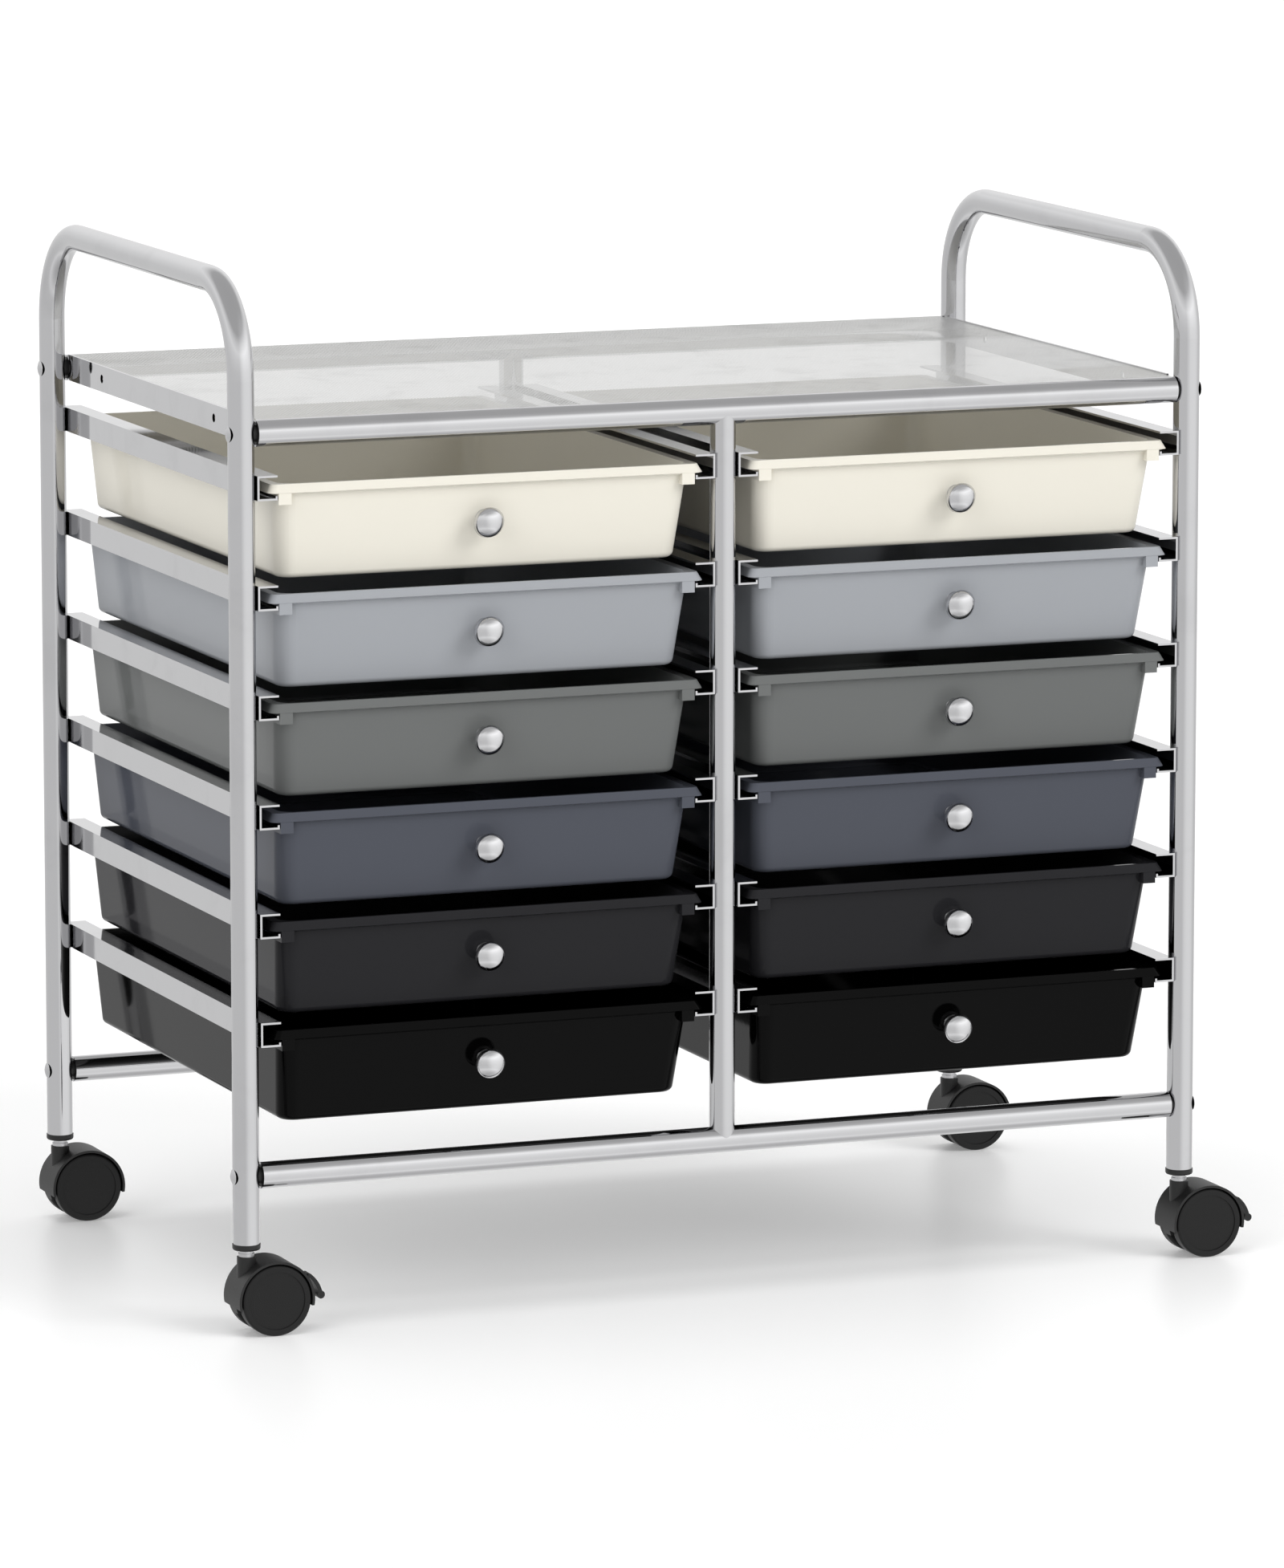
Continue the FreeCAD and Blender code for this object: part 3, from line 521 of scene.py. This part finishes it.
def add_turned(bm, outline, foot):
    """Sweep a half outline around the knob's axis, from a foot on the drawer's front."""
    rings = []
    for radius, height in outline:
        centre = foot + KNOB_AXIS * (height / MM_PER_METRE)
        reach = radius / MM_PER_METRE
        places = [centre] if radius < ON_AXIS else [centre + spoke * reach for spoke in knob_spokes]
        rings.append([bm.verts.new(place) for place in places])
    for lower, upper in zip(rings, rings[1:]):
        for step in range(KNOB_SEGMENTS):
            after = (step + 1) % KNOB_SEGMENTS
            corners = [lower[step % len(lower)], lower[after % len(lower)],
                       upper[after % len(upper)], upper[step % len(upper)]]
            bm.faces.new(list(dict.fromkeys(corners)))


for column, side in COLUMN_SIDES.items():
    for row in range(1, len(DRAWER_TONES) + 1):
        foot = Vector((side * KNOB_FOOT.x, KNOB_FOOT.y, KNOB_FOOT.z - ROW_STEP * (row - 1)))
        knob_bm = bmesh.new()
        add_turned(knob_bm, knob_outline, foot)
        add_turned(knob_bm, SCREW_OUTLINE, foot)
        bmesh.ops.recalc_face_normals(knob_bm, faces=knob_bm.faces)
        name = f"turned_knob_{column}_{row}"
        knob_mesh = bpy.data.meshes.new(name)
        knob_bm.to_mesh(knob_mesh)
        knob_bm.free()
        knob_mesh.shade_smooth()
        knob_mesh.set_sharp_from_angle(angle=math.radians(SHARP_DEGREES))
        knob_mesh.materials.append(finishes["knob_chrome"])
        knob = add_object(name, knob_mesh)
        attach(knob, f"drawer_{column}_{row}_body")
        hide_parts(f"knob_{column}_{row}")
print("knobs", len(COLUMN_SIDES) * len(DRAWER_TONES), "of", len(knob_mesh.vertices), "points")

# %% [markdown]
# ## The floor
#
# The cart stands on a pale floor in a white room. To the camera the floor glows a little, so that it
# nearly reaches the white of the room and still keeps the cart's shadow. Other rays don't meet that
# glow, so it puts no light on the cart. The mirrors don't show the floor either: the lower half of
# the room stands for it there.

# %% Floor
FLOOR_SIZE = 60.0
FLOOR_COLOUR = (0.80, 0.80, 0.80, 1)
FLOOR_ROUGHNESS = 0.35
FLOOR_SHINE = 0.25
FLOOR_GLOW = 0.185

half = FLOOR_SIZE / 2
floor_corners = [(-half, -half, 0), (half, -half, 0), (half, half, 0), (-half, half, 0)]
floor_mesh = bpy.data.meshes.new("studio_floor")
floor_mesh.from_pydata(floor_corners, [], [(0, 1, 2, 3)])
floor = add_object("studio_floor", floor_mesh)
floor.visible_glossy = False
floor_paint, floor_tree, floor_shader = new_material("studio_floor")
floor_shader.inputs["Base Color"].default_value = FLOOR_COLOUR
floor_shader.inputs["Roughness"].default_value = FLOOR_ROUGHNESS
floor_shader.inputs["Specular IOR Level"].default_value = FLOOR_SHINE
floor_glow = add_node(floor_tree, "ShaderNodeEmission", Strength=FLOOR_GLOW)
floor_sum = add_node(floor_tree, "ShaderNodeAddShader")
floor_rays = add_node(floor_tree, "ShaderNodeLightPath")
floor_pick = add_node(floor_tree, "ShaderNodeMixShader")
join(
    floor_tree,
    (floor_shader, 0, floor_sum, 0),
    (floor_glow, 0, floor_sum, 1),
    (floor_rays, "Is Camera Ray", floor_pick, 0),
    (floor_shader, 0, floor_pick, 1),
    (floor_sum, 0, floor_pick, 2),
    (floor_pick, 0, floor_tree.nodes["Material Output"], "Surface"),
)
floor_mesh.materials.append(floor_paint)
print("floor", FLOOR_SIZE, "m")

# %% [markdown]
# ## The room in the mirrors
#
# Chrome shows nothing but its surroundings, so the room decides how the tubes look. A plain white
# room makes them flat. Here the mirrored room has a light grey ceiling and two brighter bands, one a
# little above eye level and one well below it, as two long lamps would give. They draw the two white
# lines along each bar. Towards the front right the room is brighter, where the key lamp hangs. The
# colours of a ramp stop at 1, so it holds each band as a share of the peak.

# %% World: the mirrored room
ROOM_BANDS = (  # degrees above the horizon, brightness
    (-90, 0.75), (-66, 0.95), (-48, 1.30), (-36, 1.05), (-20, 1.00), (0, 1.08),
    (14, 1.25), (22, 1.40), (32, 1.15), (43, 0.75), (90, 0.72),
)
BAND_PEAK = 1.40
BRIGHT_TOWARDS = (0.62, -0.78, 0.0)
BRIGHT_STARTS = 0.4
DIM_SIDE, BRIGHT_SIDE = 0.79, 1.10
WHITE = (1, 1, 1, 1)

world = bpy.data.worlds.new("white_room")
bpy.context.scene.world = world
world.use_nodes = True
room = world.node_tree
room_place = add_node(room, "ShaderNodeTexCoord")
room_axes = add_node(room, "ShaderNodeSeparateXYZ")
room_height = add_node(room, "ShaderNodeMapRange", From_Min=-1.0)
room_ramp = add_node(room, "ShaderNodeValToRGB")
bands = room_ramp.color_ramp.elements
while len(bands) < len(ROOM_BANDS):
    bands.new(0.5)
for band, (angle, level) in zip(bands, ROOM_BANDS):
    band.position = (math.sin(math.radians(angle)) + 1) / 2
    band.color = (level / BAND_PEAK, level / BAND_PEAK, level / BAND_PEAK, 1)
room_side = add_node(room, "ShaderNodeVectorMath", operation="DOT_PRODUCT")
room_side.inputs[1].default_value = BRIGHT_TOWARDS
room_lobe = add_node(room, "ShaderNodeMapRange", interpolation_type="SMOOTHSTEP",
                     From_Min=BRIGHT_STARTS, To_Min=DIM_SIDE * BAND_PEAK,
                     To_Max=BRIGHT_SIDE * BAND_PEAK)
room_level = add_math(room, "MULTIPLY")
room_mirrored = add_node(room, "ShaderNodeBackground", Color=WHITE)
join(
    room,
    (room_place, "Generated", room_axes, 0),
    (room_axes, "Z", room_height, "Value"),
    (room_height, "Result", room_ramp, "Fac"),
    (room_place, "Generated", room_side, 0),
    (room_side, "Value", room_lobe, "Value"),
    (room_ramp, "Color", room_level, 0),
    (room_lobe, "Result", room_level, 1),
    (room_level, 0, room_mirrored, "Strength"),
)
print("mirrored room with", len(ROOM_BANDS), "bands")

# %% [markdown]
# ## The light of the room
#
# The room is one thing to the camera, another in the mirrors, and a third as a light. The camera
# sees plain white. As a light the room is dimmer than that, and weakest from above, so that the
# shadows keep some depth. One room for all three would be simpler, but a room that looks white would
# then flood the cart with light. The kind of ray decides which room it meets.

# %% World: a room for each kind of ray
ROOM_LIGHT_LOW, ROOM_LIGHT_HIGH = 0.88, 0.20

room_light = room.nodes["Background"]
room_light.inputs["Color"].default_value = WHITE
room_fade = add_node(room, "ShaderNodeMapRange", To_Min=ROOM_LIGHT_LOW, To_Max=ROOM_LIGHT_HIGH)
room_seen = add_node(room, "ShaderNodeBackground", Color=WHITE, Strength=1.0)
room_rays = add_node(room, "ShaderNodeLightPath")
pick_mirrored = add_node(room, "ShaderNodeMixShader")
pick_seen = add_node(room, "ShaderNodeMixShader")
join(
    room,
    (room_axes, "Z", room_fade, "Value"),
    (room_fade, "Result", room_light, "Strength"),
    (room_rays, "Is Glossy Ray", pick_mirrored, 0),
    (room_light, 0, pick_mirrored, 1),
    (room_mirrored, 0, pick_mirrored, 2),
    (room_rays, "Is Camera Ray", pick_seen, 0),
    (pick_mirrored, 0, pick_seen, 1),
    (room_seen, 0, pick_seen, 2),
    (pick_seen, 0, room.nodes["World Output"], "Surface"),
)
print("room light", ROOM_LIGHT_LOW, "at eye level,", ROOM_LIGHT_HIGH, "from above")

# %% [markdown]
# ## The lamps
#
# The cart is lit by very distant soft lamps: a key lamp from the front right, a fill lamp from the
# left and a weak one from above. Near area lamps would do for the cart, but would leave a grey edge
# on the floor, where distant ones light it evenly. A fourth lamp is linked to the floor alone. It
# whitens the floor and deepens the shadow under the cart, and reaches the cart only as a little
# light that the floor sends back up. The mirrors show none of them, only the room's bands.

# %% Lamps
LAMPS = {  # the side it shines from, its spread in degrees, its strength
    "key_lamp": ((0.70, -0.90, 0.70), 30, 1.36),
    "top_lamp": ((-0.35, 0.25, 1.0), 60, 0.30),
    "fill_lamp": ((-0.8, -0.5, 0.5), 40, 0.80),
    "floor_lamp": ((0.0, 0.0, 1.0), 50, 1.05),
}


def distant_lamp(name, side, spread, strength):
    """A lamp so far away that its light is parallel, with soft shadows."""
    data = bpy.data.lights.new(name, "SUN")
    data.energy = strength
    data.angle = math.radians(spread)
    lamp = add_object(name, data)
    lamp.rotation_euler = Vector(side).to_track_quat("Z", "Y").to_euler()
    lamp.visible_glossy = False
    return lamp


lamps = {name: distant_lamp(name, *values) for name, values in LAMPS.items()}
lit_floor = bpy.data.collections.new("lit_floor")
lit_floor.objects.link(floor)
lamps["floor_lamp"].light_linking.receiver_collection = lit_floor
bpy.context.scene.view_settings.view_transform = "Standard"
print("lamps", sorted(lamps))
